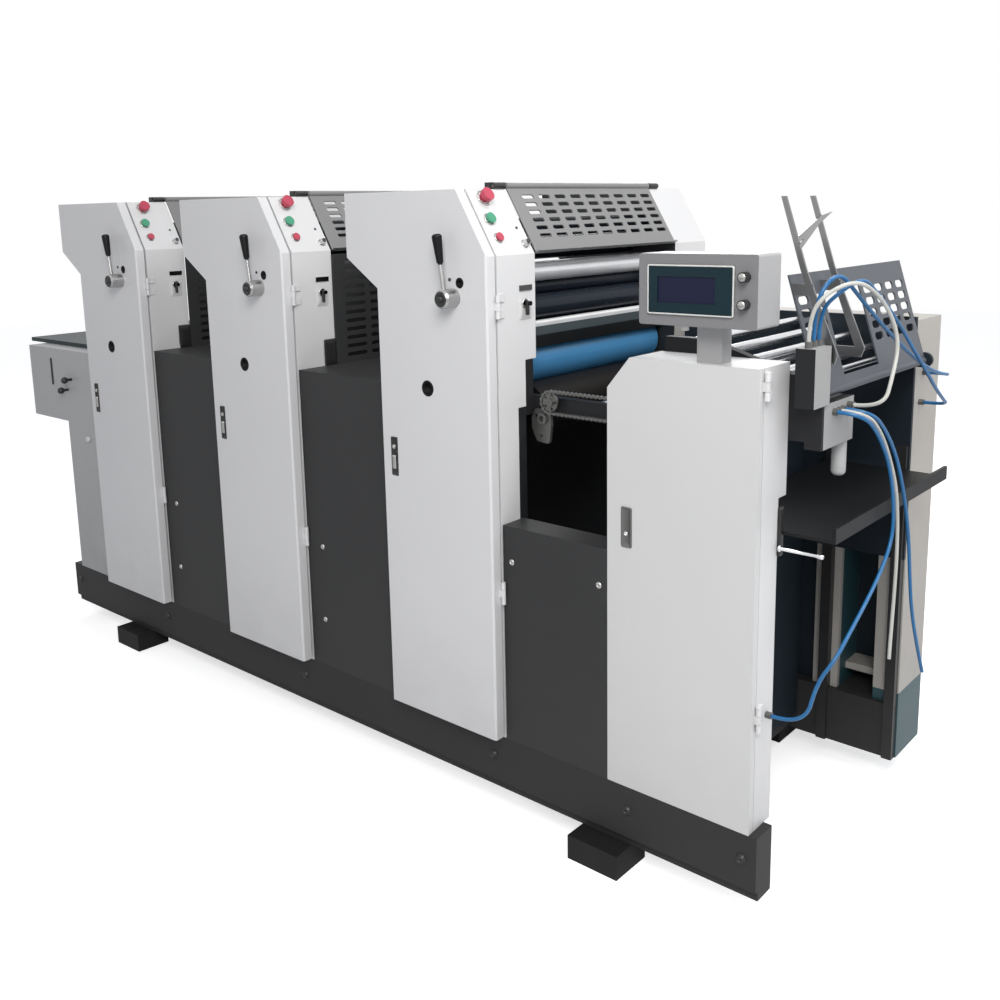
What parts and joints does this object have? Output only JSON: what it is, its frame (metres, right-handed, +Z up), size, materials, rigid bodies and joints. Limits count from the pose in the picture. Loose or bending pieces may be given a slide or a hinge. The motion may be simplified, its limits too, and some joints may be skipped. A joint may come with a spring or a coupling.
{
  "type": "offset printing press",
  "caption": "Sheet-fed offset printing press with three printing units in line, hinged doors and slotted guards, control cabinet with console, and a delivery end with pile table.",
  "frame": {"origin": "floor level under the middle of the press", "axes": "+X along the press from feed end to delivery end, +Y from operator side to drive side, +Z up"},
  "size_m": [3.6355, 1.178, 1.728],
  "materials": {
    "base_grey": "satin",
    "beige_paint": "satin",
    "black_plastic": "matte",
    "black_rubber": "matte",
    "blanket_blue": "matte",
    "bright_steel": "satin",
    "chrome_steel": "polished",
    "console_grey": "satin",
    "cover_grey": "satin",
    "dark_steel": "satin",
    "guard_grey": "satin",
    "hose_blue": "satin",
    "hose_clear": "satin",
    "light_grey": "satin",
    "red_plastic": "satin",
    "teal_paint": "satin"
  },
  "bodies": {
    "press": {"air_hose_1": "hose_blue", "air_hose_2": "hose_blue", "air_hose_3": "hose_blue", "air_hose_4": "hose_blue", "air_regulator": "hose_clear", "base_frame": "base_grey", "clear_hose_1": "hose_clear", "clear_hose_2": "hose_clear", "console_box": "console_grey", "console_screen": "black_plastic", "control_cabinet": "light_grey", "delivery_back_panels": "black_plastic", "delivery_drive_frame": "beige_paint", "delivery_inner_panel": "black_plastic", "delivery_operator_frame": "cover_grey", "delivery_post_feet": "teal_paint", "delivery_shafts": "chrome_steel", "delivery_shelf": "beige_paint", "drive_side_housing": "light_grey", "exit_roller": "black_rubber", "feed_board": "teal_paint", "feed_boxes": "light_grey", "gripper_chain": "dark_steel", "gripper_drive": "dark_steel", "guard_brackets": "black_plastic", "hose_glands": "black_plastic", "ink_rollers": "black_rubber", "lower_covers": "cover_grey", "operator_towers": "light_grey", "push_buttons": "red_plastic", "selector_switches": "chrome_steel", "table_rails": "black_plastic", "tie_bar": "chrome_steel", "upright_guards": "guard_grey"},
    "door_1": {"tower_door_1": "light_grey"},
    "lever_1": {"impression_lever_1": "bright_steel"},
    "guard_1": {"slotted_guard_1": "guard_grey"},
    "door_2": {"tower_door_2": "light_grey"},
    "lever_2": {"impression_lever_2": "bright_steel"},
    "guard_2": {"slotted_guard_2": "guard_grey"},
    "door_3": {"tower_door_3": "light_grey"},
    "lever_3": {"impression_lever_3": "bright_steel"},
    "guard_3": {"slotted_guard_3": "guard_grey"},
    "blanket_cylinder": {"blanket_cylinder": "blanket_blue"},
    "impression_cylinder": {"impression_cylinder": "dark_steel"},
    "plate_cylinder": {"plate_cylinder": "dark_steel"},
    "form_roller": {"form_roller": "black_rubber"},
    "rider_roller": {"rider_roller": "black_rubber"},
    "chrome_roller": {"chrome_roller": "chrome_steel"},
    "cabinet_door": {"cabinet_door": "light_grey"},
    "console_knob_1": {"console_knob_1": "black_plastic"},
    "console_knob_2": {"console_knob_2": "black_plastic"},
    "delivery_guard": {"delivery_guard": "guard_grey", "guide_bars": "bright_steel"},
    "pile_table": {"pile_table": "black_plastic"}
  },
  "joints": [
    {"name": "door_1_hinge", "type": "hinge", "parent": "press", "child": "door_1", "pos_m": [-0.692, -0.508, 0.9], "axis": [0, 0, 1], "range_deg": [0, 100]},
    {"name": "lever_1_throw", "type": "hinge", "parent": "door_1", "child": "lever_1", "pos_m": [-0.815, -0.541, 1.435], "axis": [0, 1, 0], "range_deg": [0, 65]},
    {"name": "guard_1_hinge", "type": "hinge", "parent": "press", "child": "guard_1", "pos_m": [-0.802, 0.0025, 1.719], "axis": [0, -1, 0], "range_deg": [0, 95]},
    {"name": "door_2_hinge", "type": "hinge", "parent": "press", "child": "door_2", "pos_m": [0.128, -0.508, 0.9], "axis": [0, 0, 1], "range_deg": [0, 100]},
    {"name": "lever_2_throw", "type": "hinge", "parent": "door_2", "child": "lever_2", "pos_m": [0.005, -0.541, 1.435], "axis": [0, 1, 0], "range_deg": [0, 65]},
    {"name": "guard_2_hinge", "type": "hinge", "parent": "press", "child": "guard_2", "pos_m": [0.018, 0.0025, 1.719], "axis": [0, -1, 0], "range_deg": [0, 95]},
    {"name": "door_3_hinge", "type": "hinge", "parent": "press", "child": "door_3", "pos_m": [0.948, -0.508, 0.9], "axis": [0, 0, 1], "range_deg": [0, 100]},
    {"name": "lever_3_throw", "type": "hinge", "parent": "door_3", "child": "lever_3", "pos_m": [0.825, -0.541, 1.435], "axis": [0, 1, 0], "range_deg": [0, 65]},
    {"name": "guard_3_hinge", "type": "hinge", "parent": "press", "child": "guard_3", "pos_m": [0.838, 0.0025, 1.719], "axis": [0, -1, 0], "range_deg": [0, 95]},
    {"name": "blanket_cylinder_turn", "type": "hinge", "parent": "press", "child": "blanket_cylinder", "pos_m": [0.813, 0.0025, 1.24], "axis": [0, 1, 0], "continuous": true},
    {"name": "impression_cylinder_turn", "type": "hinge", "parent": "press", "child": "impression_cylinder", "pos_m": [0.8853, 0.0025, 1.11477], "axis": [0, 1, 0], "continuous": true},
    {"name": "plate_cylinder_turn", "type": "hinge", "parent": "press", "child": "plate_cylinder", "pos_m": [0.76354, 0.0025, 1.37588], "axis": [0, 1, 0], "continuous": true},
    {"name": "form_roller_turn", "type": "hinge", "parent": "press", "child": "form_roller", "pos_m": [0.86883, 0.0025, 1.39255], "axis": [0, 1, 0], "continuous": true},
    {"name": "rider_roller_turn", "type": "hinge", "parent": "press", "child": "rider_roller", "pos_m": [0.84314, 0.0025, 1.44522], "axis": [0, 1, 0], "continuous": true},
    {"name": "chrome_roller_turn", "type": "hinge", "parent": "press", "child": "chrome_roller", "pos_m": [0.87087, 0.0025, 1.48874], "axis": [0, 1, 0], "continuous": true},
    {"name": "cabinet_door_hinge", "type": "hinge", "parent": "press", "child": "cabinet_door", "pos_m": [1.678, -0.481, 0.7], "axis": [0, 0, 1], "range_deg": [0, 110]},
    {"name": "console_knob_1_turn", "type": "hinge", "parent": "press", "child": "console_knob_1", "pos_m": [1.654, -0.541, 1.453], "axis": [0, -1, 0], "range_deg": [-140, 140]},
    {"name": "console_knob_2_turn", "type": "hinge", "parent": "press", "child": "console_knob_2", "pos_m": [1.654, -0.541, 1.51], "axis": [0, -1, 0], "range_deg": [-140, 140]},
    {"name": "delivery_guard_hinge", "type": "hinge", "parent": "press", "child": "delivery_guard", "pos_m": [1.721, 0.0025, 1.236], "axis": [0, -1, 0], "range_deg": [0, 45]},
    {"name": "pile_table_lift", "type": "slide", "parent": "press", "child": "pile_table", "axis": [0, 0, 1], "range_m": [-0.5, 0.04]}
  ],
  "couplings": [
    {"joint": "impression_cylinder_turn", "follows": "blanket_cylinder_turn", "ratio": -1},
    {"joint": "plate_cylinder_turn", "follows": "blanket_cylinder_turn", "ratio": -1},
    {"joint": "form_roller_turn", "follows": "blanket_cylinder_turn", "ratio": 2.1176},
    {"joint": "rider_roller_turn", "follows": "blanket_cylinder_turn", "ratio": -3},
    {"joint": "chrome_roller_turn", "follows": "blanket_cylinder_turn", "ratio": 2.6667}
  ]
}
